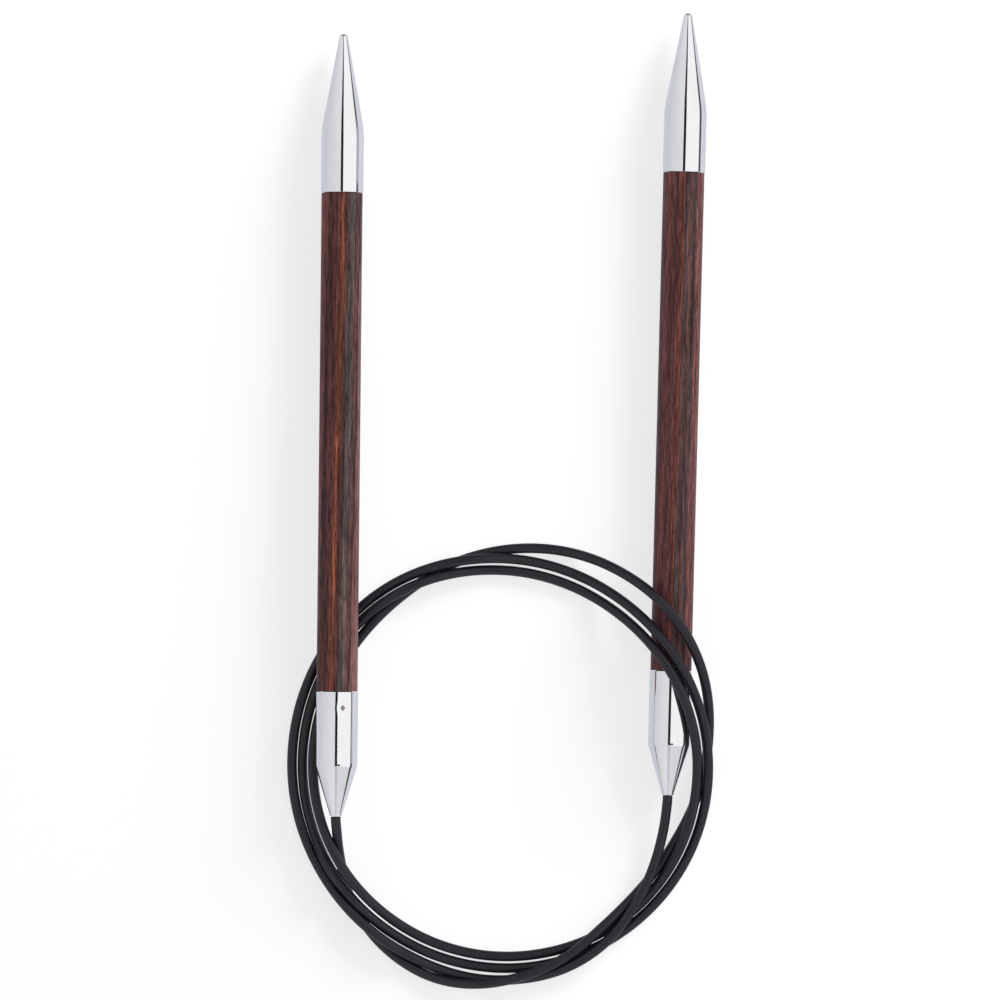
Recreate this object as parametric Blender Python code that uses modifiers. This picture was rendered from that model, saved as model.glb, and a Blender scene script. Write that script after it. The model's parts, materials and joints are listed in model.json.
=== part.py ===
"""Circular knitting needles: two turned needles joined by one coiled nylon cable.

The frame is +Z up from the surface that the object lies on and +Y towards the needles'
points, with the origin under the middle of the two needles. Dimensions are in millimetres
and become metres where a mesh or a matrix is made.

Each needle is a plated metal tip, a laminated wood barrel with a tenon at each end, and a
plated rear ferrule. The cable's end sits in a crimp sleeve inside the ferrule. The cable
starts at the left ferrule, makes nearly three and a half turns and ends at the right one.
It passes under the left needle, over the right needle, and over and under itself.
"""

import bmesh
import bpy
import numpy as np
from math import atan2, cos, degrees, hypot, pi, radians, sin, sqrt
from mathutils import Matrix, Vector

MM = 0.001
COLLECTION = "circular_knitting_needles"

# Driving dimensions.
GAUGE_RADIUS = 3.5  # the wooden barrel, a size 7 mm needle
METAL_RADIUS = 3.61
SHOULDER_RADIUS = 3.58  # the ferrule where its cone starts
CABLE_RADIUS = 0.845
NEEDLE_LENGTH = 133.2
FERRULE_LENGTH = 21.2
TIP_LENGTH = 27.1
GLUE_LINE = 0.1  # between parts that are glued together

# The metal tip.
TAPER = radians(10.35)
NOSE_RADIUS = 0.74
SHOULDER_BLEND = 18.0  # radius of the soft edge where the taper meets the round
EDGE_BREAK = 0.12

# The joints inside.
TENON_RADIUS = 2.5
TENON_LENGTH = 8.0
SOCKET_SPARE = 0.4  # depth of a socket past its tenon
DRILL_POINT = 1.5

# The rear ferrule, measured from its small end.
CONE_LENGTH = 9.0
CONE_BLEND = 3.0  # radius of the soft edge where the cone starts
CONE_ANGLE = 17.0
FRONT_LAND = 1.5
LIP_RADIUS = 1.06
LIP_LENGTH = 0.3
CABLE_BORE_RADIUS = CABLE_RADIUS + 0.065
CHAMBER = (6.2, 12.9)  # start and end of the chamber for the crimp sleeve
CHAMBER_RADIUS = 1.75
SLEEVE = (6.5, 12.5)
SLEEVE_RADIUS = 1.6
CABLE_END = 12.2

# The staking mark that locks each ferrule to the wood.
MARK_FROM_FRONT = 2.85
MARK_WIDTH = 1.04
MARK_LENGTH = 1.17
MARK_DEPTH = 0.24

# Facets round each turned part. Half a step of roll puts one flat exactly underneath.
STEPS = 32
SLEEVE_STEPS = 16
HALF_STEP = pi / STEPS
FLAT_RADIUS = METAL_RADIUS * cos(HALF_STEP)

# Where each needle's cable end lies, its heading from +Y towards +X, and how far its
# point dips. The left needle lies across the cable, so its rear end is raised.
LEFT = dict(exit=(-29.92, -68.33, 5.94), heading=radians(0.571), dip=radians(1.165))
RIGHT = dict(exit=(26.57, -64.8, FLAT_RADIUS), heading=radians(1.5), dip=0.0)
MARK_ROLL = {"left": radians(17.6), "right": radians(118)}  # from the top, towards +X

# The cable's route: its distance from the coil's centre at angles in degrees, anticlockwise
# from +X and counted on through the turns.
COIL_CENTRE = (-1.87, -59.82)
ROUTE_START, ROUTE_END = 197.1, 1430.0
ROUTE_STEP = 0.5
SMOOTHING = 6.0  # softens the ends of each hump
RADII = (
    (180, 27.9), (200, 29.75), (210, 31.6), (220, 33.9), (240, 37.1), (250, 37.9), (280, 35.6),
    (290, 34.3), (300, 32.8), (330, 32.1), (360, 34.9), (390, 38.3), (400, 38.9), (420, 38.75),
    (460, 35.65), (480, 33.45), (500, 32.3), (520, 32.1), (560, 32.0), (600, 32.2),
    (640, 32.8), (660, 33.3), (680, 33.6), (720, 33.5), (780, 32.75), (810, 33.27),
    (840, 34.15), (900, 33.8), (960, 34.15), (1020, 35.08), (1060, 35.5), (1080, 35.38),
    (1140, 34.88), (1170, 35.27), (1200, 35.9), (1260, 35.58), (1290, 35.58), (1320, 35.9),
    (1350, 36.65), (1370, 36.12), (1380, 35.12), (1390, 33.6), (1420, 29.67), (1430, 28.9),
    (1440, 28.8),
)
# Where the cable leaves the surface: angles where it starts to rise, is up, is still up
# and is down again, and the height of its middle there.
HUMPS = (
    (160, 165, 200.5, 213.5, 5.94),  # down from the left ferrule
    (250, 264, 302, 318, 2.84),  # over three turns of itself
    (369, 394, 408, 431, 8.46),  # over the right needle
    (526, 564, 572, 596, 5.18),  # over the left lead
    (683, 699, 718, 730, 2.69),
    (708, 742, 755, 782, 8.41),  # over the right needle
    (814, 830, 842, 857, 2.74),
    (921, 935, 944, 960, 2.74),
    (1062, 1078, 1091, 1102, 2.70),
    (1082, 1108, 1119, 1146, 8.46),  # over the right needle
    (1162, 1176, 1190, 1203, 2.70),
    (1293, 1304, 1318, 1331, 2.74),
    (1355, 1374, 1500, 1510, 2.68),
    (1405, 1428, 1500, 1510, FLAT_RADIUS),  # up to the right ferrule
)

# The coil's solid holds every turn between these angles. The leads are tubes.
COIL_START, COIL_END = 213.0, 1404.0
COIL_STEPS = 120
COIL_SIDES = 12
COIL_FULLNESS = 1.15  # squares the ring's section off towards its corners
COIL_THINNEST = 1.2
COIL_GAP = 0.45  # between the ring and the right needle
COIL_FADE = 3.0  # how far beside the right needle the ring is back on the surface
LEFT_LEAD_END, RIGHT_LEAD_START = 203.6, 1414.6
LEAD_STRAIGHT = 2.5
LEAD_POINTS = 7


def clear_scene():
    for thing in list(bpy.data.objects):
        bpy.data.objects.remove(thing, do_unlink=True)


def new_collection(name):
    made = bpy.data.collections.new(name)
    bpy.context.scene.collection.children.link(made)
    return made


def material(name, colour, roughness, metallic=0.0):
    made = bpy.data.materials.new(name)
    made.use_nodes = True
    shader = made.node_tree.nodes["Principled BSDF"]
    shader.inputs["Base Color"].default_value = (*colour, 1.0)
    shader.inputs["Roughness"].default_value = roughness
    shader.inputs["Metallic"].default_value = metallic
    return made


def add_object(name, data, collection, finish):
    made = bpy.data.objects.new(name, data)
    data.materials.append(finish)
    collection.objects.link(made)
    return made


def turned(name, outline, steps, collection, finish):
    """A solid turned about Z from an outline of (radius, height) points, outer side first."""
    mesh = bpy.data.meshes.new(name)
    points = [(radius * MM, 0.0, height * MM) for radius, height in outline]
    edges = [(i, i + 1) for i in range(len(points) - 1)]
    if outline[0][0] > 0:
        edges.append((len(points) - 1, 0))
    mesh.from_pydata(points, edges, [])
    made = add_object(name, mesh, collection, finish)
    screw = made.modifiers.new("turn", "SCREW")
    screw.steps = steps
    screw.render_steps = steps
    screw.use_merge_vertices = True
    screw.merge_threshold = 1e-6
    screw.use_smooth_shade = True
    return made


def arc(radius, height, size, start, end, count):
    """Points on a circle about (radius, height), from one angle to another in degrees."""
    angles = [radians(start + (end - start) * i / (count - 1)) for i in range(count)]
    return [(radius + size * cos(a), height + size * sin(a)) for a in angles]


# The pieces of one needle, each drawn along Z from the needle's cable end.


def tip_outline():
    back = NEEDLE_LENGTH - TIP_LENGTH
    nose_centre = NEEDLE_LENGTH - NOSE_RADIUS
    blend_radius = METAL_RADIUS - SHOULDER_BLEND
    blend_centre = (
        nose_centre * sin(TAPER) + NOSE_RADIUS - SHOULDER_BLEND - blend_radius * cos(TAPER)
    ) / sin(TAPER)
    taper = degrees(TAPER)
    nose = arc(0.0, nose_centre, NOSE_RADIUS, 90, taper, 5)
    shoulder = arc(blend_radius, blend_centre, SHOULDER_BLEND, taper, 0, 5)
    socket = back + TENON_LENGTH + SOCKET_SPARE
    bore = TENON_RADIUS + GLUE_LINE
    base = [
        (METAL_RADIUS, back + EDGE_BREAK),
        (METAL_RADIUS - EDGE_BREAK, back),
        (bore, back),
        (bore, socket),
        (0.0, socket + DRILL_POINT),
    ]
    return [(0.0, NEEDLE_LENGTH)] + nose[1:] + shoulder + base


def barrel_outline():
    front = NEEDLE_LENGTH - TIP_LENGTH - GLUE_LINE
    return [
        (0.0, front + TENON_LENGTH),
        (TENON_RADIUS, front + TENON_LENGTH),
        (TENON_RADIUS, front),
        (GAUGE_RADIUS, front),
        (GAUGE_RADIUS, FERRULE_LENGTH),
        (TENON_RADIUS, FERRULE_LENGTH),
        (TENON_RADIUS, FERRULE_LENGTH - TENON_LENGTH),
        (0.0, FERRULE_LENGTH - TENON_LENGTH),
    ]


def ferrule_outline():
    front = FERRULE_LENGTH - GLUE_LINE
    bore = TENON_RADIUS + GLUE_LINE
    shoulder = arc(SHOULDER_RADIUS - CONE_BLEND, CONE_LENGTH, CONE_BLEND, 0, -CONE_ANGLE, 4)
    return (
        [
            (METAL_RADIUS - EDGE_BREAK, front),
            (METAL_RADIUS, front - EDGE_BREAK),
            (METAL_RADIUS, front - FRONT_LAND),
        ]
        + shoulder
        + [
            (LIP_RADIUS, LIP_LENGTH),
            (LIP_RADIUS - 0.04, 0.0),
            (CABLE_BORE_RADIUS, 0.0),
            (CABLE_BORE_RADIUS, CHAMBER[0]),
            (CHAMBER_RADIUS, CHAMBER[0]),
            (CHAMBER_RADIUS, CHAMBER[1]),
            (bore, CHAMBER[1]),
            (bore, front),
        ]
    )


def sleeve_outline():
    return [
        (SLEEVE_RADIUS, SLEEVE[1]),
        (SLEEVE_RADIUS, SLEEVE[0]),
        (CABLE_BORE_RADIUS, SLEEVE[0]),
        (CABLE_BORE_RADIUS, SLEEVE[1]),
    ]


def cable_end_outline():
    return [(0.0, CABLE_END), (CABLE_RADIUS, CABLE_END), (CABLE_RADIUS, 0.0), (0.0, 0.0)]


def stake_mark(side, ferrule, cutters):
    """Cuts the diamond-shaped punch mark into the ferrule's side."""
    mesh = bpy.data.meshes.new(side + "_stake_mark_cutter")
    form = bmesh.new()
    reach = 2.0  # how far the punch stands out of the metal
    spread = (MARK_DEPTH + reach) / MARK_DEPTH
    bmesh.ops.create_cone(
        form, cap_ends=True, segments=4, radius1=0.5 * MM, radius2=0.0, depth=1.0 * MM
    )
    stretch = Vector((MARK_WIDTH * spread, MARK_LENGTH * spread, MARK_DEPTH + reach))
    bmesh.ops.scale(form, vec=stretch, verts=form.verts)
    form.to_mesh(mesh)
    form.free()
    cutter = bpy.data.objects.new(mesh.name, mesh)
    cutters.objects.link(cutter)
    cutter.hide_render = True
    cutter.display_type = "WIRE"
    # The punch's own Z points out of the needle with its apex inwards, its Y along the needle.
    along = FERRULE_LENGTH - MARK_FROM_FRONT
    middle = METAL_RADIUS - MARK_DEPTH + (MARK_DEPTH + reach) / 2
    turn = pi / 2 + MARK_ROLL[side] - HALF_STEP
    outward = Vector((cos(turn), sin(turn), 0.0))
    place = Matrix.Translation(outward * middle * MM + Vector((0, 0, along * MM)))
    axes = Matrix((Vector((0, 0, 1)).cross(-outward), Vector((0, 0, 1)), -outward))
    cutter.matrix_local = place @ axes.transposed().to_4x4()
    cutter.parent = ferrule
    cut = ferrule.modifiers.new("stake mark", "BOOLEAN")
    cut.operation = "DIFFERENCE"
    cut.object = cutter


def needle_frame(place):
    """Z from the cable end to the point, Y up, with half a facet of roll."""
    dip, heading = place["dip"], place["heading"]
    along = Vector((sin(heading) * cos(dip), cos(heading) * cos(dip), -sin(dip)))
    up = (Vector((0, 0, 1)) - along * along.z).normalized()
    axes = Matrix((up.cross(along), up, along)).transposed().to_4x4()
    return Matrix.Translation(Vector(place["exit"]) * MM) @ axes @ Matrix.Rotation(HALF_STEP, 4, "Z")


def build_needle(side, place, collection, cutters, finishes):
    frame = bpy.data.objects.new(side + "_needle_axis", None)
    collection.objects.link(frame)
    frame.matrix_world = needle_frame(place)
    pieces = (
        ("metal_tip", tip_outline(), STEPS, "metal"),
        ("wood_barrel", barrel_outline(), STEPS, "wood"),
        ("rear_ferrule", ferrule_outline(), STEPS, "metal"),
        ("crimp_sleeve", sleeve_outline(), SLEEVE_STEPS, "brass"),
        ("cable_end", cable_end_outline(), SLEEVE_STEPS, "nylon"),
    )
    for name, outline, steps, finish in pieces:
        piece = turned(f"{side}_{name}", outline, steps, collection, finishes[finish])
        piece.parent = frame
        if name == "rear_ferrule":
            stake_mark(side, piece, cutters)


# The cable.


def through(knots, places):
    """A smooth curve through (place, value) knots, read at many places."""
    at, values = np.array(knots, float).T
    slopes = np.gradient(values, at)
    left = np.clip(np.searchsorted(at, places, "right") - 1, 0, len(at) - 2)
    span = at[left + 1] - at[left]
    share = (places - at[left]) / span
    rest = 1 - share
    start = rest**2 * ((1 + 2 * share) * values[left] + share * span * slopes[left])
    end = share**2 * ((1 + 2 * rest) * values[left + 1] - rest * span * slopes[left + 1])
    return start + end


def smoothed(values, width):
    """A moving average, taken twice."""
    window = np.ones(width) / width
    for _ in range(2):
        values = np.convolve(np.pad(values, width // 2, mode="edge"), window, "valid")
    return values


def cable_route():
    """Angles in degrees, and the cable's middle at each: radius and height."""
    angles = np.arange(RADII[0][0], RADII[-1][0] + ROUTE_STEP, ROUTE_STEP)
    heights = np.full(len(angles), CABLE_RADIUS)
    for rise, up, still_up, down, height in HUMPS:
        hump = np.interp(
            angles, (rise, up, still_up, down), (CABLE_RADIUS, height, height, CABLE_RADIUS)
        )
        heights = np.maximum(heights, hump)
    width = int(SMOOTHING / ROUTE_STEP) + 1
    return angles, through(RADII, angles), smoothed(heights, width)


def route_point(route, angle):
    angles, radii, heights = route
    radius = np.interp(angle, angles, radii)
    x = COIL_CENTRE[0] + radius * cos(radians(angle))
    y = COIL_CENTRE[1] + radius * sin(radians(angle))
    return Vector((x, y, float(np.interp(angle, angles, heights))))


def leaving(point, place, travelled):
    """Eases a point of the route onto the line that leaves a ferrule straight."""
    along = (needle_frame(place).to_3x3() @ Vector((0, 0, -1))).normalized()
    share = min(travelled / LEAD_STRAIGHT, 1.0)
    share = share * share * (3 - 2 * share)
    straight = Vector(place["exit"]) + along * travelled
    return straight.lerp(point, share)


def lead_points(route, place, first, last):
    """From a ferrule's mouth along the route, from one angle to another."""
    angles = np.linspace(first, last, LEAD_POINTS)
    points = [route_point(route, angle) for angle in angles]
    travelled = [(point - Vector(place["exit"])).length for point in points]
    eased = [leaving(point, place, far) for point, far in zip(points[1:], travelled[1:])]
    return [leaving(points[0], place, GLUE_LINE)] + eased


def build_tube(name, points, collection, finish):
    data = bpy.data.curves.new(name, "CURVE")
    data.dimensions = "3D"
    data.bevel_depth = CABLE_RADIUS * MM
    data.bevel_resolution = 2
    data.use_fill_caps = True
    spline = data.splines.new("POLY")
    spline.points.add(len(points) - 1)
    for slot, point in zip(spline.points, points):
        slot.co = (*(point * MM), 1.0)
    return add_object(name, data, collection, finish)


def turns_at(route, angle):
    """The radius and height of each turn of the coil that passes this angle."""
    angles, radii, heights = route
    here = np.arange(angle % 360, COIL_END, 360)
    here = here[here >= COIL_START]
    return np.interp(here, angles, radii), np.interp(here, angles, heights)


def coil_sections(route):
    """At each step round the ring: inner and outer radius, lowest and highest point."""
    rows = []
    for angle in np.arange(COIL_STEPS) * 360 / COIL_STEPS:
        near = [turns_at(route, angle + side) for side in (-2, 0, 2)]
        radii = np.concatenate([radii for radii, _ in near])
        heights = np.concatenate([heights for _, heights in near])
        rows.append((radii.min(), radii.max(), heights.min(), heights.max()))
    reach = np.array((-1, 1, -1, 1)) * CABLE_RADIUS
    return np.array(rows) + reach


def above_right_needle(x, y):
    """The lowest height that clears the right needle here, falling to 0 beside it."""
    end_x, end_y, middle = RIGHT["exit"]
    heading = RIGHT["heading"]
    along = (x - end_x) * sin(heading) + (y - end_y) * cos(heading)
    aside = abs((x - end_x) * cos(heading) - (y - end_y) * sin(heading))
    stations = (0, CONE_LENGTH, FERRULE_LENGTH)
    radius = np.interp(along, stations, (LIP_RADIUS, SHOULDER_RADIUS, METAL_RADIUS)) + COIL_GAP
    if along < -COIL_GAP:
        return 0.0
    if aside < radius:
        return middle + sqrt(radius**2 - aside**2)
    return max(0.0, middle * (1 - (aside - radius) / COIL_FADE))


def build_coil(route, collection, finish):
    """A ring whose section holds all the turns, lifted where they cross the right needle."""
    form = bmesh.new()
    sections = coil_sections(route)
    bpy.ops.mesh.primitive_torus_add(
        major_segments=COIL_STEPS, minor_segments=COIL_SIDES, major_radius=1.0, minor_radius=0.5
    )
    ring = bpy.context.active_object
    ring.name = ring.data.name = "cable_coil"
    form.from_mesh(ring.data)
    for vert in form.verts:
        angle = atan2(vert.co.y, vert.co.x)
        step = round(angle / (2 * pi) * COIL_STEPS) % COIL_STEPS
        inner, outer, low, high = sections[step]
        across = (hypot(vert.co.x, vert.co.y) - 1) * 2 * COIL_FULLNESS
        upward = vert.co.z * 2 * COIL_FULLNESS
        across, upward = (max(-1.0, min(1.0, value)) for value in (across, upward))
        radius = (inner + outer) / 2 + across * (outer - inner) / 2
        x = COIL_CENTRE[0] + radius * cos(angle)
        y = COIL_CENTRE[1] + radius * sin(angle)
        height = (low + high) / 2 + upward * (high - low) / 2
        floor = above_right_needle(x, y) + (upward + 1) / 2 * COIL_THINNEST
        vert.co = Vector((x, y, max(height, floor))) * MM
    form.to_mesh(ring.data)
    form.free()
    ring.data.materials.append(finish)
    for old in list(ring.users_collection):
        old.objects.unlink(ring)
    collection.objects.link(ring)


def build_cable(collection, finish):
    route = cable_route()
    build_coil(route, collection, finish)
    left = lead_points(route, LEFT, ROUTE_START, LEFT_LEAD_END)
    right = lead_points(route, RIGHT, ROUTE_END, RIGHT_LEAD_START)
    build_tube("left_cable_lead", left, collection, finish)
    build_tube("right_cable_lead", right, collection, finish)


def main():
    clear_scene()
    parts = new_collection(COLLECTION)
    cutters = new_collection("cutters")
    finishes = {
        "metal": material("plated_metal", (0.80, 0.80, 0.82), 0.12, 1.0),
        "wood": material("laminated_wood", (0.12, 0.035, 0.025), 0.38),
        "brass": material("brass", (0.72, 0.53, 0.25), 0.35, 1.0),
        "nylon": material("black_nylon", (0.018, 0.018, 0.02), 0.45),
    }
    build_needle("left", LEFT, parts, cutters, finishes)
    build_needle("right", RIGHT, parts, cutters, finishes)
    build_cable(parts, finishes["nylon"])


main()
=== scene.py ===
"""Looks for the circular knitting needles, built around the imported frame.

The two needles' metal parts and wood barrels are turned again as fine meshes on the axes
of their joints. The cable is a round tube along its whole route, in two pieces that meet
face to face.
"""

import json
from math import cos, degrees, exp, hypot, pi, radians, sin

import bmesh
import bpy
import numpy as np
from mathutils import Matrix, Vector


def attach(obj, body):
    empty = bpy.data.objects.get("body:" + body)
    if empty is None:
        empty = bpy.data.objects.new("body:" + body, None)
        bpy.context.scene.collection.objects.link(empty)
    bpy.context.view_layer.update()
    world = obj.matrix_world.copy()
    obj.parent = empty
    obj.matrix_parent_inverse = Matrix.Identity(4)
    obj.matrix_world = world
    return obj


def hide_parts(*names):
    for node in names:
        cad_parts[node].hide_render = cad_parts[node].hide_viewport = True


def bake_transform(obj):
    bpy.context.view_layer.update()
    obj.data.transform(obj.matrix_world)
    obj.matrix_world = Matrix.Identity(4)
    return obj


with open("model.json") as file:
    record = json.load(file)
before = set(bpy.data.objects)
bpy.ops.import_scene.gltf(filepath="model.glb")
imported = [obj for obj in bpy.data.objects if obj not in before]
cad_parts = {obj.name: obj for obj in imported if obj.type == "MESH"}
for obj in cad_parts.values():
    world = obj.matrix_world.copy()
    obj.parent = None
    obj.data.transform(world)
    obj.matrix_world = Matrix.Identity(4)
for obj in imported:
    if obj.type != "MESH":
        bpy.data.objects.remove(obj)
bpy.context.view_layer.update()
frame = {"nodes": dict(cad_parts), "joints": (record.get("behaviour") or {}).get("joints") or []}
JOINTS = {joint["name"]: joint for joint in frame["joints"]}
NODES = frame["nodes"]

# Sizes in metres, those of the CAD part.
GAUGE_RADIUS = 0.0035
METAL_RADIUS = 0.00361
SHOULDER_RADIUS = 0.00358
CABLE_RADIUS = 0.000845
NEEDLE_LENGTH = 0.1332
FERRULE_LENGTH = 0.0212
TIP_LENGTH = 0.0271
GLUE_LINE = 0.0001
TAPER = radians(10.35)
NOSE_RADIUS = 0.00074
SHOULDER_BLEND = 0.018
TENON_RADIUS = 0.0025
TENON_LENGTH = 0.008
SOCKET_LENGTH = 0.0084
DRILL_POINT = 0.0015
CONE_LENGTH = 0.009
CONE_BLEND = 0.003
CONE_ANGLE = 17.0
FRONT_LAND = 0.0015
LIP_RADIUS = 0.00106
LIP_LENGTH = 0.0003
CABLE_BORE_RADIUS = 0.00091
CHAMBER = (0.0062, 0.0129)
CHAMBER_RADIUS = 0.00175

# Fine detail of the turned parts.
METAL_EDGE = 0.00006  # rounding of a cut edge
WOOD_EDGE = 0.00004
HOLDING = 0.00008  # distance from a rounding at which a straight run gets a supporting ring
SEGMENTS = 144
OUTER_RADIUS = 0.003  # what lies nearer to the axis is inside, and isn't pressed
SHARP_TURNED = radians(35)  # edges sharper than this stay sharp
SHARP_TUBE = radians(60)
MARK_CROWDING = 0.62  # how much closer the segments stand beside the punched mark
MARK_FROM_FRONT = 0.00285
MARK_HALF = (0.00052, 0.00059)  # half the diamond across and along the needle
MARK_DEPTH = 0.00024
DISH_DEPTH = 0.00007  # the metal sinks a little round the punched mark
DISH_REACH = 0.0011
MARK_RINGS = (0.0013, -0.0016, 59)  # the rings round the mark: first, last and how many
MARK_ROLL = {"left": radians(17.6), "right": radians(118)}
DIMPLE_FROM_BACK = 0.00315
DIMPLE_ROLL = {"left": radians(-36.7), "right": radians(96)}
DIMPLE_DEPTH = 0.000012
DIMPLE_REACH = 0.0003
DIMPLE_RINGS = 25

# The cable's route: its distance from the coil's centre at angles in degrees, anticlockwise
# from +X and counted on through the turns.
COIL_CENTRE = (-0.00187, -0.05982)
ROUTE_START, ROUTE_END = 197.1, 1430.0
FIRST_END = 350.0  # where the first piece meets the second, under another turn
ROUTE_STEP = 0.5
SMOOTHING = 6.0
RADII = (
    (180, 0.0279), (200, 0.02975), (210, 0.0316), (220, 0.0339), (240, 0.0371), (250, 0.0379),
    (280, 0.0356), (290, 0.0343), (300, 0.0328), (330, 0.0321), (360, 0.0349), (390, 0.0383),
    (400, 0.0389), (420, 0.03875), (460, 0.03565), (480, 0.03345), (500, 0.0323), (520, 0.0321),
    (560, 0.032), (600, 0.0322), (640, 0.0328), (660, 0.0333), (680, 0.0336),
    (720, 0.0335), (780, 0.03275), (810, 0.03327), (840, 0.03415), (900, 0.0338),
    (960, 0.03415), (1020, 0.03508), (1060, 0.0355), (1080, 0.03538), (1140, 0.03488),
    (1170, 0.03527), (1200, 0.0359), (1260, 0.03558), (1290, 0.03558), (1320, 0.0359),
    (1350, 0.03665), (1370, 0.03612), (1380, 0.03512), (1390, 0.0336), (1420, 0.02967),
    (1430, 0.0289), (1440, 0.0288),
)
# Where the cable leaves the surface: angles where it starts to rise, is up, is still up
# and is down again, and the height of its middle there.
HUMPS = (
    (160, 165, 200.5, 213.5, 0.00594),  # down from the left ferrule
    (250, 264, 302, 318, 0.00284),  # over three turns of itself
    (369, 394, 408, 431, 0.00846),  # over the right needle
    (526, 564, 572, 596, 0.00518),  # over the left lead
    (683, 699, 718, 730, 0.00269),
    (708, 742, 755, 782, 0.00841),  # over the right needle
    (814, 830, 842, 857, 0.00274),
    (921, 935, 944, 960, 0.00274),
    (1062, 1078, 1091, 1102, 0.00270),
    (1082, 1108, 1119, 1146, 0.00846),  # over the right needle
    (1162, 1176, 1190, 1203, 0.00270),
    (1293, 1304, 1318, 1331, 0.00274),
    (1355, 1374, 1500, 1510, 0.00268),
    (1405, 1428, 1500, 1510, 0.00359),  # up to the right ferrule
)
LEAD_STRAIGHT = 0.0025
RING_STEP = 0.0008  # between the rings of the tube
RING_SIDES = 20

# The studio.
VIEW_CENTRE = (-0.00198, -0.01459)
VIEW_WIDTH = 0.1703
LENS = 400.0
SENSOR = 36.0
SURFACE_RADIUS = 4.0
SURFACE_ALBEDO = 0.15  # the white sweep lies partly in its own light, so shadows stay pale
SURFACE_GLOW = 0.745
WALL_RADIUS = 3.9
WALL_HEIGHT = 8.0
# A softbox's place, the length of its sides and its power in watts.
RIGHT_SOFTBOX = ((1.1, 0.15, 1.0), 1.0, 6.0)
LOW_SOFTBOX = ((1.0, 1.0, 0.57), 0.65, 65.0)

# What the metal mirrors, by direction in degrees: aside is measured from straight up
# towards the right, and ahead from the upright plane across the needles towards their points.
GREY_SOFTBOX = (0.72, 0.73, 0.75)
WHITE_SOFTBOX = (0.98, 0.98, 0.985)
WHITE_STARTS = (-27.0, -16.0)  # ahead: further back, the right side is grey as well
GAP_ASIDE = -1.0  # the middle of the dark gap that the camera looks through
GAP_EDGE = (6.0, 7.4)
GAP_PALES = (26.0, 50.0)  # ahead: where the gap fades to half
CONES_MIRROR = (-20.0, -18.0)  # ahead: the rear cones mirror what lies behind this
FAINT_GAP = (2.0, 14.0, 0.3, 0.0)  # the trace of the gap that the cones mirror
FOOT_ASIDE = ((-3.0, -1.0), (20.0, 24.0))  # the gap's foot, which turns to the right
FOOT_AHEAD = ((-18.5, -17.0), (-9.0, -7.0))
POINTS_MIRROR = (52.0, 60.0)  # ahead: the noses mirror the dark that lies beyond this
HORIZON = (-0.1, 0.0)
GAP_COLOUR = (0.012, 0.012, 0.014)
BEYOND_COLOUR = (0.03, 0.03, 0.035)


# Meshes.


def mesh_object(name, form, sharp=SHARP_TURNED):
    mesh = bpy.data.meshes.new(name)
    bmesh.ops.recalc_face_normals(form, faces=form.faces)
    form.to_mesh(mesh)
    form.free()
    mesh.shade_smooth()
    mesh.set_sharp_from_angle(angle=sharp)
    made = bpy.data.objects.new(name, mesh)
    bpy.context.scene.collection.objects.link(made)
    return made


def arc(radius, height, size, start, end, count):
    """Points on a circle about (radius, height), from one angle to another in degrees."""
    angles = [radians(start + (end - start) * i / (count - 1)) for i in range(count)]
    return [(radius + size * cos(a), height + size * sin(a)) for a in angles]


def held(outline):
    """Adds a ring near both ends of each long straight run, so that it shades straight."""
    points = []
    for (r0, h0), (r1, h1) in zip(outline, outline[1:] + outline[:1]):
        points.append((r0, h0))
        length = hypot(r1 - r0, h1 - h0)
        if length > 4 * HOLDING:
            for share in (HOLDING / length, 1 - HOLDING / length):
                points.append((r0 + (r1 - r0) * share, h0 + (h1 - h0) * share))
    return points


def needle_frame(side):
    """The needle's own axes at the cable's end: Z to the point, Y up, read from its joint."""
    joint = JOINTS[side + "_needle_roll"]
    along = Vector(joint["axis"]).normalized()
    up = (Vector((0, 0, 1)) - along * along.z).normalized()
    axes = Matrix((up.cross(along), up, along)).transposed().to_4x4()
    return Matrix.Translation(Vector(joint["pos_m"])) @ axes


def turned(name, side, outline, press=None, centre=0.0):
    """A closed solid turned about the needle's axis. press(angle, height) is how far the
    outer surface is pressed in, and the segments stand closer near the centre angle."""
    form = bmesh.new()
    crowding = MARK_CROWDING if press else 0.0
    turns = [2 * pi * i / SEGMENTS for i in range(SEGMENTS)]
    angles = [centre + turn - crowding * sin(turn) for turn in turns]
    rings = []
    for radius, height in outline:
        if radius == 0.0:
            rings.append([form.verts.new((0.0, 0.0, height))])
            continue
        ring = []
        for angle in angles:
            sunk = press(angle - centre, height) if press and radius > OUTER_RADIUS else 0.0
            reach = radius - sunk
            ring.append(form.verts.new((reach * cos(angle), reach * sin(angle), height)))
        rings.append(ring)
    for one, other in zip(rings, rings[1:] + rings[:1]):
        bridge(form, one, other)
    made = mesh_object(name, form)
    made.matrix_world = needle_frame(side)
    return made


def bridge(form, one, other):
    """Faces between two rings, either of which may be a single point on the axis."""
    if len(one) == 1 and len(other) == 1:
        return
    count = max(len(one), len(other))
    for i in range(count):
        j = (i + 1) % count
        corners = [one[i % len(one)], one[j % len(one)], other[j % len(other)], other[i % len(other)]]
        unique = list(dict.fromkeys(corners))
        form.faces.new(unique)


# The turned parts' outlines, drawn along Z from the needle's cable end.


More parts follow.
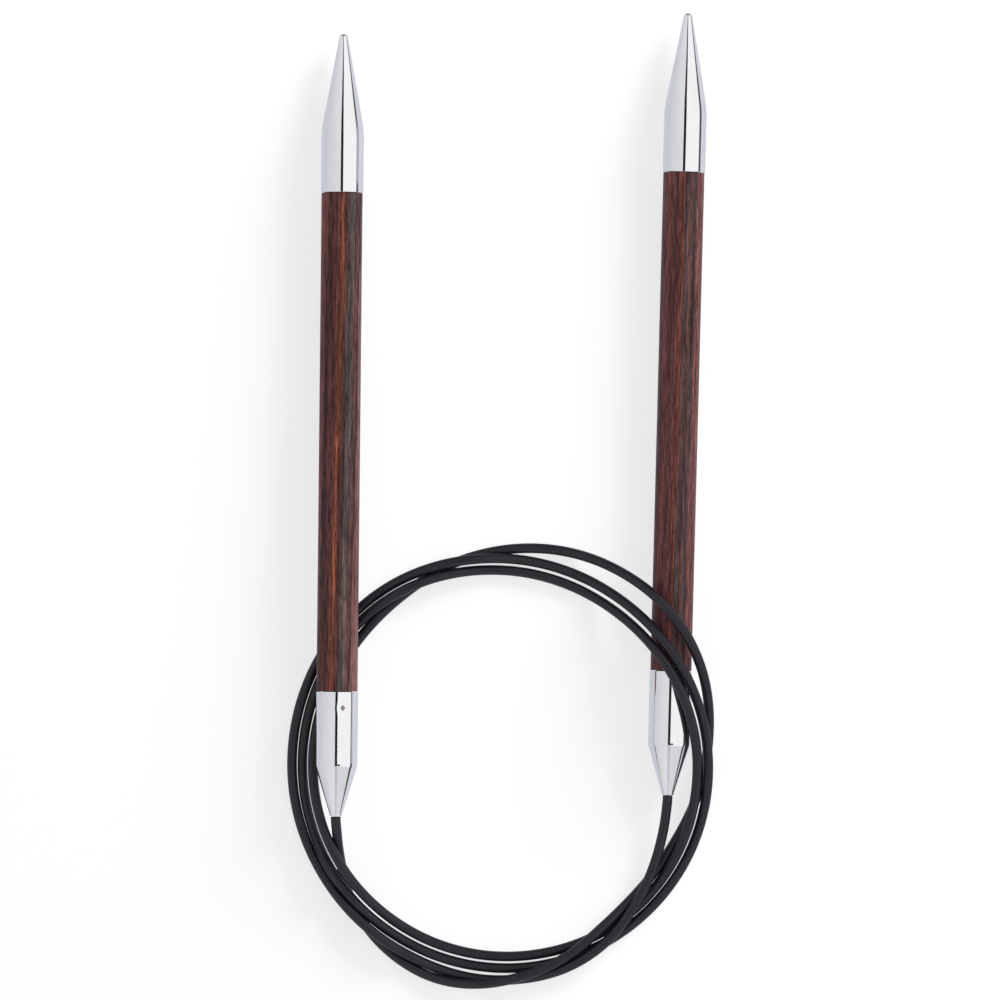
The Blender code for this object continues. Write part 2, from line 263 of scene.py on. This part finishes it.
def tip_outline():
    back = NEEDLE_LENGTH - TIP_LENGTH
    nose_centre = NEEDLE_LENGTH - NOSE_RADIUS
    blend_radius = METAL_RADIUS - SHOULDER_BLEND
    blend_centre = (
        nose_centre * sin(TAPER) + NOSE_RADIUS - SHOULDER_BLEND - blend_radius * cos(TAPER)
    ) / sin(TAPER)
    taper = degrees(TAPER)
    nose = arc(0.0, nose_centre, NOSE_RADIUS, 90, taper, 14)
    shoulder = arc(blend_radius, blend_centre, SHOULDER_BLEND, taper, 0, 24)
    bore = TENON_RADIUS + GLUE_LINE
    edge = arc(METAL_RADIUS - METAL_EDGE, back + METAL_EDGE, METAL_EDGE, 0, -90, 5)
    dimple = back + DIMPLE_FROM_BACK
    marked = [
        (METAL_RADIUS, dimple + DIMPLE_REACH * 3 * share)
        for share in np.linspace(1, -1, DIMPLE_RINGS)
    ]
    inside = [(bore, back), (bore, back + SOCKET_LENGTH), (0.0, back + SOCKET_LENGTH + DRILL_POINT)]
    return [(0.0, NEEDLE_LENGTH)] + nose[1:] + shoulder + marked + edge + inside


def barrel_outline():
    front = NEEDLE_LENGTH - TIP_LENGTH - GLUE_LINE
    rear = FERRULE_LENGTH
    front_edge = arc(GAUGE_RADIUS - WOOD_EDGE, front - WOOD_EDGE, WOOD_EDGE, 90, 0, 5)
    rear_edge = arc(GAUGE_RADIUS - WOOD_EDGE, rear + WOOD_EDGE, WOOD_EDGE, 0, -90, 5)
    return (
        [(0.0, front + TENON_LENGTH), (TENON_RADIUS, front + TENON_LENGTH), (TENON_RADIUS, front)]
        + front_edge
        + rear_edge
        + [(TENON_RADIUS, rear), (TENON_RADIUS, rear - TENON_LENGTH), (0.0, rear - TENON_LENGTH)]
    )


def ferrule_outline():
    front = FERRULE_LENGTH - GLUE_LINE
    bore = TENON_RADIUS + GLUE_LINE
    land = front - FRONT_LAND
    mark = FERRULE_LENGTH - MARK_FROM_FRONT
    edge = arc(METAL_RADIUS - METAL_EDGE, front - METAL_EDGE, METAL_EDGE, 90, 0, 5)
    slope = (METAL_RADIUS - SHOULDER_RADIUS) / (land - CONE_LENGTH)
    marked = [
        (METAL_RADIUS - slope * (land - height), height)
        for height in mark + np.linspace(*MARK_RINGS)
    ]
    shoulder = arc(SHOULDER_RADIUS - CONE_BLEND, CONE_LENGTH, CONE_BLEND, 0, -CONE_ANGLE, 9)
    lip = arc(LIP_RADIUS - METAL_EDGE, METAL_EDGE, METAL_EDGE, -20, -90, 4)
    inside = [
        (CABLE_BORE_RADIUS, 0.0),
        (CABLE_BORE_RADIUS, CHAMBER[0]),
        (CHAMBER_RADIUS, CHAMBER[0]),
        (CHAMBER_RADIUS, CHAMBER[1]),
        (bore, CHAMBER[1]),
        (bore, front),
    ]
    return edge + marked + shoulder + [(LIP_RADIUS, LIP_LENGTH)] + lip + inside


def mark_press(height_of_mark):
    """How deep the ferrule is pressed in at and round its diamond-shaped punch mark."""

    def press(turn, height):
        turn = (turn + pi) % (2 * pi) - pi
        across, along = turn * METAL_RADIUS, height - height_of_mark
        dish = DISH_DEPTH * exp(-(across**2 + along**2) / (2 * (DISH_REACH / 2) ** 2))
        inside = 1 - abs(across) / MARK_HALF[0] - abs(along) / MARK_HALF[1]
        return dish + MARK_DEPTH * max(0.0, inside)

    return press


def dimple_press(height_of_dimple):
    """How deep the tip is pressed in at its faint round dimple."""

    def press(turn, height):
        turn = (turn + pi) % (2 * pi) - pi
        far = (turn * METAL_RADIUS) ** 2 + (height - height_of_dimple) ** 2
        return DIMPLE_DEPTH * exp(-far / (2 * (DIMPLE_REACH / 2) ** 2))

    return press


# The cable's route.


def through(knots, places):
    """A smooth curve through (place, value) knots, read at many places."""
    at, values = np.array(knots, float).T
    slopes = np.gradient(values, at)
    left = np.clip(np.searchsorted(at, places, "right") - 1, 0, len(at) - 2)
    span = at[left + 1] - at[left]
    share = (places - at[left]) / span
    rest = 1 - share
    start = rest**2 * ((1 + 2 * share) * values[left] + share * span * slopes[left])
    end = share**2 * ((1 + 2 * rest) * values[left + 1] - rest * span * slopes[left + 1])
    return start + end


def smoothed(values, width):
    """A moving average, taken twice."""
    window = np.ones(width) / width
    for _ in range(2):
        values = np.convolve(np.pad(values, width // 2, mode="edge"), window, "valid")
    return values


def cable_route():
    """Angles in degrees, and the cable's middle at each: radius and height."""
    angles = np.arange(RADII[0][0], RADII[-1][0] + ROUTE_STEP, ROUTE_STEP)
    heights = np.full(len(angles), CABLE_RADIUS)
    for rise, up, still_up, down, height in HUMPS:
        hump = np.interp(
            angles, (rise, up, still_up, down), (CABLE_RADIUS, height, height, CABLE_RADIUS)
        )
        heights = np.maximum(heights, hump)
    width = int(SMOOTHING / ROUTE_STEP) + 1
    return angles, through(RADII, angles), smoothed(heights, width)


def route_points(first, last):
    """The cable's middle from one angle of its route to another, in even steps."""
    angles, radii, heights = cable_route()
    middle = float(np.interp((first + last) / 2, angles, radii))
    count = int(radians(abs(last - first)) * middle / RING_STEP)
    points = []
    for angle in np.linspace(first, last, count + 1):
        radius = np.interp(angle, angles, radii)
        x = COIL_CENTRE[0] + radius * cos(radians(angle))
        y = COIL_CENTRE[1] + radius * sin(radians(angle))
        points.append(Vector((x, y, float(np.interp(angle, angles, heights)))))
    return points


def leaving(points, side):
    """Eases the start of a run of points onto the line that leaves a ferrule straight."""
    axes = needle_frame(side)
    mouth, along = axes.translation, -axes.col[2].to_3d()
    eased = []
    for point in points:
        travelled = max((point - mouth).length, GLUE_LINE)
        share = min(travelled / LEAD_STRAIGHT, 1.0)
        share = share * share * (3 - 2 * share)
        eased.append((mouth + along * travelled).lerp(point, share))
    return eased


def tube(name, points):
    """A closed round tube along the points, its rings carried along without twist."""
    form = bmesh.new()
    side = Vector((0, 0, 1))
    rings = []
    for i, point in enumerate(points):
        ahead = points[min(i + 1, len(points) - 1)] - points[max(i - 1, 0)]
        ahead.normalize()
        side = (side - ahead * side.dot(ahead)).normalized()
        other = ahead.cross(side)
        turns = [2 * pi * k / RING_SIDES for k in range(RING_SIDES)]
        rings.append(
            [form.verts.new(point + (side * cos(t) + other * sin(t)) * CABLE_RADIUS) for t in turns]
        )
    for one, other in zip(rings, rings[1:]):
        bridge(form, one, other)
    form.faces.new(rings[0])
    form.faces.new(rings[-1])
    return mesh_object(name, form, SHARP_TUBE)


# Materials.


# The veneers of the laminated wood: each one's right edge in mm from the axis, and colour.
# The last, rightmost colour on each barrel is partly the wood's own and partly a painted
# reflection of the white surface along the barrel's right edge.
LEFT_LAYERS_WITH_PAINTED_RIM = (
    (-2.9, (0.127, 0.048, 0.047)), (-2.3, (0.071, 0.032, 0.032)), (-1.6, (0.098, 0.038, 0.036)),
    (-1.15, (0.076, 0.032, 0.031)), (-0.65, (0.116, 0.044, 0.038)), (-0.1, (0.208, 0.067, 0.036)),
    (0.4, (0.102, 0.040, 0.036)), (0.8, (0.071, 0.038, 0.036)), (1.95, (0.096, 0.074, 0.069)),
    # The last layer is paler and pinker: partly veneer colour, partly painted reflection at the right
    # edge.
    (2.4, (0.127, 0.061, 0.055)), (2.8, (0.058, 0.032, 0.032)), (4.0, (0.208, 0.101, 0.100)),
)
RIGHT_LAYERS_WITH_PAINTED_RIM = (
    (-2.7, (0.100, 0.048, 0.053)), (-1.9, (0.126, 0.046, 0.044)), (-1.1, (0.090, 0.038, 0.041)),
    (-0.3, (0.122, 0.044, 0.041)), (0.35, (0.154, 0.053, 0.041)), (0.95, (0.070, 0.046, 0.047)),
    # The last layer is paler and pinker: partly veneer colour, partly painted reflection at the right
    # edge.
    (1.7, (0.109, 0.053, 0.049)), (2.3, (0.068, 0.044, 0.047)), (4.0, (0.164, 0.067, 0.063)),
)
STACK_WIDTH = 8.0  # mm, all the veneers together
STACK_SOFT = 0.014  # share of that width in which each edge blends
DRIFT_CENTRE = 0.065  # along the needle, where the veneers' edges stand as listed
# Waves per metre across and along, an offset and (noise, colour) tones that multiply.
GRAIN = (
    ((1700, 1700, 40), 7.0, ((0.34, (0.60, 0.57, 0.58)), (0.5, (1, 1, 1)), (0.66, (1.48, 1.36, 1.34)))),
    ((4200, 4200, 300), 3.0, ((0.34, (0.50, 0.50, 0.50)), (0.5, (1, 1, 1)), (0.66, (1.60, 1.60, 1.65)))),
)


def new_tree(name):
    made = bpy.data.materials.new(name)
    made.use_nodes = True
    return made, made.node_tree, made.node_tree.nodes["Principled BSDF"]


def node(tree, kind, inputs=None, **settings):
    """A node with its settings, and its inputs set to values or linked from sockets."""
    made = tree.nodes.new(kind)
    for key, value in settings.items():
        setattr(made, key, value)
    for key, value in (inputs or {}).items():
        if isinstance(value, bpy.types.NodeSocket):
            tree.links.new(value, made.inputs[key])
        else:
            made.inputs[key].default_value = value
    return made


def maths(tree, operation, *values):
    inputs = dict(enumerate(values))
    return node(tree, "ShaderNodeMath", inputs, operation=operation).outputs[0]


def product(tree, *values):
    made, *others = values
    for value in others:
        made = maths(tree, "MULTIPLY", made, value)
    return made


def fade(tree, value, low, high, at_low=0.0, at_high=1.0):
    """Goes smoothly from one number to another as value goes from low to high."""
    inputs = {"Value": value, "From Min": low, "From Max": high, "To Min": at_low, "To Max": at_high}
    made = node(tree, "ShaderNodeMapRange", inputs, interpolation_type="SMOOTHSTEP")
    return made.outputs["Result"]


def ramp(tree, value, stops):
    """A colour ramp with (place, colour) stops."""
    made = node(tree, "ShaderNodeValToRGB", {"Fac": value})
    elements = made.color_ramp.elements
    while len(elements) < len(stops):
        elements.new(1.0)
    for element, (place, colour) in zip(elements, sorted(stops)):
        element.position = place
        element.color = (*colour, 1.0)
    return made.outputs["Color"]


def noise(tree, where, stretch, detail=3.0, roughness=0.5, offset=(0.0, 0.0, 0.0)):
    """Noise whose grain has this many waves per metre along X, Y and Z."""
    mapping = node(tree, "ShaderNodeMapping", {"Vector": where, "Scale": stretch, "Location": offset})
    inputs = {"Vector": mapping.outputs[0], "Scale": 1.0, "Detail": detail, "Roughness": roughness}
    return node(tree, "ShaderNodeTexNoise", inputs).outputs["Fac"]


def mixed(tree, share, one, other, blend="MIX"):
    made = node(tree, "ShaderNodeMix", data_type="RGBA", blend_type=blend)
    for socket, value in ((made.inputs[0], share), (made.inputs[6], one), (made.inputs[7], other)):
        if isinstance(value, bpy.types.NodeSocket):
            tree.links.new(value, socket)
        else:
            socket.default_value = value if socket == made.inputs[0] else (*value, 1.0)
    return made.outputs[2]


def bump(tree, shader, height, strength, distance):
    inputs = {"Height": height, "Strength": strength, "Distance": distance}
    made = node(tree, "ShaderNodeBump", inputs)
    tree.links.new(made.outputs["Normal"], shader.inputs["Normal"])


def weighed(tree, one, other):
    """The sum of two (value, weight) pairs."""
    return maths(tree, "ADD", *(maths(tree, "MULTIPLY", *pair) for pair in (one, other)))


def punched(tree, where, roll):
    """1 in the diamond-shaped punch mark of a ferrule, 0 outside it."""
    x, y, z = node(tree, "ShaderNodeSeparateXYZ", {0: where}).outputs
    turn = pi / 2 + roll
    aside = weighed(tree, (x, -sin(turn)), (y, cos(turn)))
    facing = weighed(tree, (x, cos(turn)), (y, sin(turn)))
    along = maths(tree, "SUBTRACT", z, FERRULE_LENGTH - MARK_FROM_FRONT)
    shares = [
        maths(tree, "DIVIDE", maths(tree, "ABSOLUTE", far), half)
        for far, half in zip((aside, along), MARK_HALF)
    ]
    inside = fade(tree, maths(tree, "ADD", *shares), 0.8, 1.0, 1.0, 0.0)
    return maths(tree, "MULTIPLY", inside, maths(tree, "GREATER_THAN", facing, 0.0))


def plated_metal(name, mark_roll=None):
    """Bright nickel plate over turned metal, with the faint rings that turning leaves. Where
    a ferrule is punched, the plate is broken and duller."""
    made, tree, shader = new_tree(name)
    where = node(tree, "ShaderNodeTexCoord").outputs["Object"]
    shader.inputs["Metallic"].default_value = 1.0
    stain = noise(tree, where, (500, 500, 160), 4.0, 0.6)
    colour = ramp(tree, stain, [(0.3, (0.86, 0.865, 0.88)), (0.7, (0.93, 0.93, 0.94))])
    haze = noise(tree, where, (900, 900, 900), 3.0, 0.6, (3.1, 0.4, 7.7))
    roughness = fade(tree, haze, 0.35, 0.75, 0.045, 0.10)
    if mark_roll is not None:
        pit = punched(tree, where, mark_roll)
        colour = mixed(tree, pit, colour, (0.50, 0.40, 0.385))
        roughness = maths(tree, "ADD", roughness, maths(tree, "MULTIPLY", pit, 0.45))
    tree.links.new(colour, shader.inputs["Base Color"])
    tree.links.new(roughness, shader.inputs["Roughness"])
    rings = noise(tree, where, (60, 60, 5200), 2.0, 0.5, (1.0, 2.0, 3.0))
    ripple = noise(tree, where, (420, 420, 700), 2.0, 0.4, (9.0, 2.0, 5.0))
    height = maths(tree, "ADD", maths(tree, "MULTIPLY", rings, 0.25), ripple)
    bump(tree, shader, height, 0.35, 0.000012)
    return made


def laminated_wood(name, layers, drift, seed):
    """Dyed veneers glued side by side and turned round, with streaks of grain and pores.
    layers are (right edge in mm from the axis, colour), and drift is how far they wander
    to the left for each metre towards the point. The last layer's colour is partly a painted
    reflection along the barrel's right edge."""
    made, tree, shader = new_tree(name)
    where = node(tree, "ShaderNodeTexCoord").outputs["Object"]
    x, _, z = node(tree, "ShaderNodeSeparateXYZ", {0: where}).outputs
    wander = noise(tree, where, (60, 60, 30), 3.0, 0.5, (seed, seed, seed))
    ragged = noise(tree, where, (2200, 2200, 110), 3.0, 0.6, (seed + 4.0, seed, 1.0))
    across = maths(tree, "MULTIPLY", x, -1000.0)
    shifts = ((wander, 0.5, 1.3), (ragged, 0.5, 0.9), (z, DRIFT_CENTRE, drift))
    for value, middle, weight in shifts:
        shift = maths(tree, "MULTIPLY", maths(tree, "SUBTRACT", value, middle), weight)
        across = maths(tree, "ADD", across, shift)
    stops, left = [], -STACK_WIDTH / 2
    for right, colour in layers:
        places = (left / STACK_WIDTH + 0.5 + STACK_SOFT, right / STACK_WIDTH + 0.5 - STACK_SOFT)
        stops += [(place, colour) for place in places]
        left = right
    place = maths(tree, "ADD", maths(tree, "DIVIDE", across, STACK_WIDTH), 0.5)
    colour = ramp(tree, place, stops)
    for stretch, offset, tones in GRAIN:
        grain = noise(tree, where, stretch, 3.0, 0.6, (seed + offset, offset, seed))
        colour = mixed(tree, 1.0, colour, ramp(tree, grain, tones), "MULTIPLY")
    fine = noise(tree, where, (6500, 6500, 700), 2.0, 0.5, (2.0, seed, 5.0))
    pores = fade(tree, fine, 0.57, 0.68)
    colour = mixed(tree, maths(tree, "MULTIPLY", pores, 0.6), colour, (0.010, 0.005, 0.005))
    tree.links.new(colour, shader.inputs["Base Color"])
    tree.links.new(fade(tree, grain, 0.3, 0.7, 0.50, 0.38), shader.inputs["Roughness"])
    shader.inputs["Specular IOR Level"].default_value = 0.08
    bump(tree, shader, maths(tree, "SUBTRACT", grain, pores), 0.35, 0.00002)
    return made


def black_nylon():
    """Smooth drawn nylon with a soft sheen, a trace of die lines and a little dust."""
    made, tree, shader = new_tree("black_nylon")
    where = node(tree, "ShaderNodeTexCoord").outputs["Object"]
    shade = noise(tree, where, (300, 300, 300), 4.0, 0.6)
    colour = ramp(tree, shade, [(0.3, (0.0087, 0.0063, 0.0117)), (0.75, (0.0147, 0.0120, 0.0187))])
    tree.links.new(colour, shader.inputs["Base Color"])
    tree.links.new(fade(tree, shade, 0.3, 0.7, 0.36, 0.48), shader.inputs["Roughness"])
    shader.inputs["Specular IOR Level"].default_value = 0.44
    grain = noise(tree, where, (5200, 5200, 5200), 2.0, 0.5)
    bump(tree, shader, grain, 0.25, 0.00001)
    return made


def bare_brass():
    made, tree, shader = new_tree("brass")
    where = node(tree, "ShaderNodeTexCoord").outputs["Object"]
    shader.inputs["Metallic"].default_value = 1.0
    tarnish = noise(tree, where, (900, 900, 900), 4.0, 0.6)
    colour = ramp(tree, tarnish, [(0.3, (0.45, 0.30, 0.12)), (0.7, (0.78, 0.58, 0.28))])
    tree.links.new(colour, shader.inputs["Base Color"])
    tree.links.new(fade(tree, tarnish, 0.3, 0.7, 0.25, 0.45), shader.inputs["Roughness"])
    bump(tree, shader, tarnish, 0.2, 0.00001)
    return made


# The studio: a camera straight above, a white surface, two softboxes and the surroundings.


def make_camera():
    data = bpy.data.cameras.new("camera")
    data.lens, data.sensor_width = LENS, SENSOR
    data.clip_start, data.clip_end = 0.01, 20.0
    camera = bpy.data.objects.new("camera", data)
    bpy.context.scene.collection.objects.link(camera)
    camera.location = (*VIEW_CENTRE, VIEW_WIDTH * LENS / SENSOR + METAL_RADIUS)
    bpy.context.scene.camera = camera


def make_surface():
    bpy.ops.mesh.primitive_circle_add(vertices=128, radius=SURFACE_RADIUS, fill_type="NGON")
    surface = bpy.context.active_object
    surface.name = "surface"
    made, tree, shader = new_tree("white_surface")
    shader.inputs["Base Color"].default_value = (SURFACE_ALBEDO,) * 3 + (1.0,)
    shader.inputs["Emission Color"].default_value = (1.0, 1.0, 1.0, 1.0)
    shader.inputs["Emission Strength"].default_value = SURFACE_GLOW
    shader.inputs["Roughness"].default_value = 0.9
    shader.inputs["Specular IOR Level"].default_value = 0.0
    surface.data.materials.append(made)
    surface.visible_glossy = False
    return surface


def make_backdrop():
    """A pale wall far behind everything, which only the camera sees."""
    bpy.ops.mesh.primitive_cylinder_add(
        vertices=128, radius=WALL_RADIUS, depth=WALL_HEIGHT, end_fill_type="NGON"
    )
    wall = bpy.context.active_object
    wall.name = "backdrop"
    made, tree, shader = new_tree("backdrop")
    shader.inputs["Base Color"].default_value = (0.0, 0.0, 0.0, 1.0)
    shader.inputs["Emission Color"].default_value = (1.0, 1.0, 1.0, 1.0)
    shader.inputs["Emission Strength"].default_value = 1.0
    wall.data.materials.append(made)
    for rays in ("diffuse", "glossy", "transmission", "volume_scatter", "shadow"):
        setattr(wall, "visible_" + rays, False)


def band_colours(tree, aside, right):
    """What lies at each angle from straight up, in degrees towards the right."""
    table_left, table_right = (0.636, 0.645, 0.705), (0.715, 0.73, 0.80)
    far_left, left = (0.685, 0.69, 0.708), (0.775, 0.78, 0.79)
    dark = (0.07, 0.07, 0.075)
    bands = (
        (-180, table_left), (-96, table_left), (-84, far_left), (-30, left), (-4, left),
        (4, right), (83.0, right), (85.5, dark), (97, dark), (101, table_right),
        (180, table_left),
    )
    stops = [((angle + 180) / 360, colour) for angle, colour in bands]
    return ramp(tree, maths(tree, "ADD", maths(tree, "DIVIDE", aside, 360.0), 0.5), stops)


def between(tree, value, rise, fall):
    """Two shares whose product is 1 between a rise and a fall, and 0 outside them."""
    return fade(tree, value, *rise), fade(tree, value, *fall, 1.0, 0.0)


def make_world():
    """What the metal mirrors: a grey softbox on the left, a white one on the right, the dark
    gap that the camera looks through, a dark line along the right horizon, and the table."""
    world = bpy.data.worlds.new("studio")
    bpy.context.scene.world = world
    world.use_nodes = True
    tree = world.node_tree
    direction = node(tree, "ShaderNodeTexCoord").outputs["Generated"]
    x, y, z = node(tree, "ShaderNodeSeparateXYZ", {0: direction}).outputs
    aside = maths(tree, "DEGREES", maths(tree, "ARCTAN2", x, z))
    ahead = maths(tree, "DEGREES", maths(tree, "ARCSINE", y))
    plain = band_colours(tree, aside, GREY_SOFTBOX)
    colour = band_colours(tree, aside, WHITE_SOFTBOX)
    colour = mixed(tree, fade(tree, ahead, *WHITE_STARTS, 1.0, 0.0), colour, plain)
    beside = maths(tree, "ABSOLUTE", maths(tree, "SUBTRACT", aside, GAP_ASIDE))
    gap = product(
        tree,
        fade(tree, beside, *GAP_EDGE, 1.0, 0.0),
        fade(tree, ahead, *GAP_PALES, 1.0, 0.5),
        fade(tree, ahead, *CONES_MIRROR),
    )
    faint = product(tree, fade(tree, beside, *FAINT_GAP), fade(tree, ahead, *CONES_MIRROR, 1.0, 0.0))
    foot = product(tree, *between(tree, aside, *FOOT_ASIDE), *between(tree, ahead, *FOOT_AHEAD))
    for part in (gap, faint, foot):
        colour = mixed(tree, part, colour, GAP_COLOUR)
    beyond = product(tree, fade(tree, ahead, *POINTS_MIRROR), fade(tree, z, *HORIZON))
    colour = mixed(tree, beyond, colour, BEYOND_COLOUR)
    tree.links.new(colour, tree.nodes["Background"].inputs["Color"])


def softbox(name, place, size, energy):
    data = bpy.data.lights.new(name, "AREA")
    data.size = size
    data.energy = energy
    light = bpy.data.objects.new(name, data)
    bpy.context.scene.collection.objects.link(light)
    light.location = place
    light.rotation_mode = "QUATERNION"
    light.rotation_quaternion = light.location.to_track_quat("Z", "Y")
    light.visible_glossy = False
    light.visible_camera = False
    return light


def make_lights(surface):
    """A softbox on the right, and a low one that only grazes the surface."""
    softbox("right_softbox", *RIGHT_SOFTBOX)
    low = softbox("low_softbox", *LOW_SOFTBOX)
    grazed = bpy.data.collections.new("grazed")
    grazed.objects.link(surface)
    low.light_linking.receiver_collection = grazed


# The object.


def finish_piece(piece, material, body, slot, *nodes):
    piece.data.materials.append(material)
    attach(piece, body)
    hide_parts(*nodes)


def build_cable(finish):
    first = leaving(route_points(ROUTE_START, FIRST_END), "left")
    rest = route_points(FIRST_END, ROUTE_END)
    rest = leaving(rest[::-1], "right")[::-1]
    start = tube("cable_start", first)
    start.data.materials.append(finish)
    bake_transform(start)
    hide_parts("left_cable_lead")
    run = tube("cable_run", rest)
    finish_piece(run, finish, "cable", "black_nylon", "cable_coil", "right_cable_lead")


def build_needle(side, metal, wood):
    body = side + "_needle"
    marked_metal = plated_metal(side + "_ferrule_metal", MARK_ROLL[side])
    mark = FERRULE_LENGTH - MARK_FROM_FRONT
    dimple = NEEDLE_LENGTH - TIP_LENGTH + DIMPLE_FROM_BACK
    tip = turned(
        side + "_tip", side, held(tip_outline()), dimple_press(dimple), pi / 2 + DIMPLE_ROLL[side]
    )
    barrel = turned(side + "_barrel", side, held(barrel_outline()))
    ferrule = turned(
        side + "_ferrule", side, held(ferrule_outline()), mark_press(mark), pi / 2 + MARK_ROLL[side]
    )
    finish_piece(tip, metal, body, "plated_metal", side + "_metal_tip")
    finish_piece(barrel, wood, body, "laminated_wood", side + "_wood_barrel")
    finish_piece(ferrule, marked_metal, body, "plated_metal", side + "_rear_ferrule")


def dress(name, material):
    """A carried-over CAD node gets its better material."""
    data = NODES[name].data
    data.materials.clear()
    data.materials.append(material)


def main():
    make_camera()
    bpy.context.scene.view_settings.view_transform = "Standard"
    metal, nylon, brass = plated_metal("plated_metal"), black_nylon(), bare_brass()
    build_cable(nylon)
    build_needle("left", metal, laminated_wood("left_wood", LEFT_LAYERS_WITH_PAINTED_RIM, -20.0, 1.3))
    build_needle("right", metal, laminated_wood("right_wood", RIGHT_LAYERS_WITH_PAINTED_RIM, -3.0, 6.1))
    for side in ("left", "right"):
        dress(side + "_crimp_sleeve", brass)
        dress(side + "_cable_end", nylon)
    surface = make_surface()
    make_backdrop()
    make_world()
    make_lights(surface)


main()
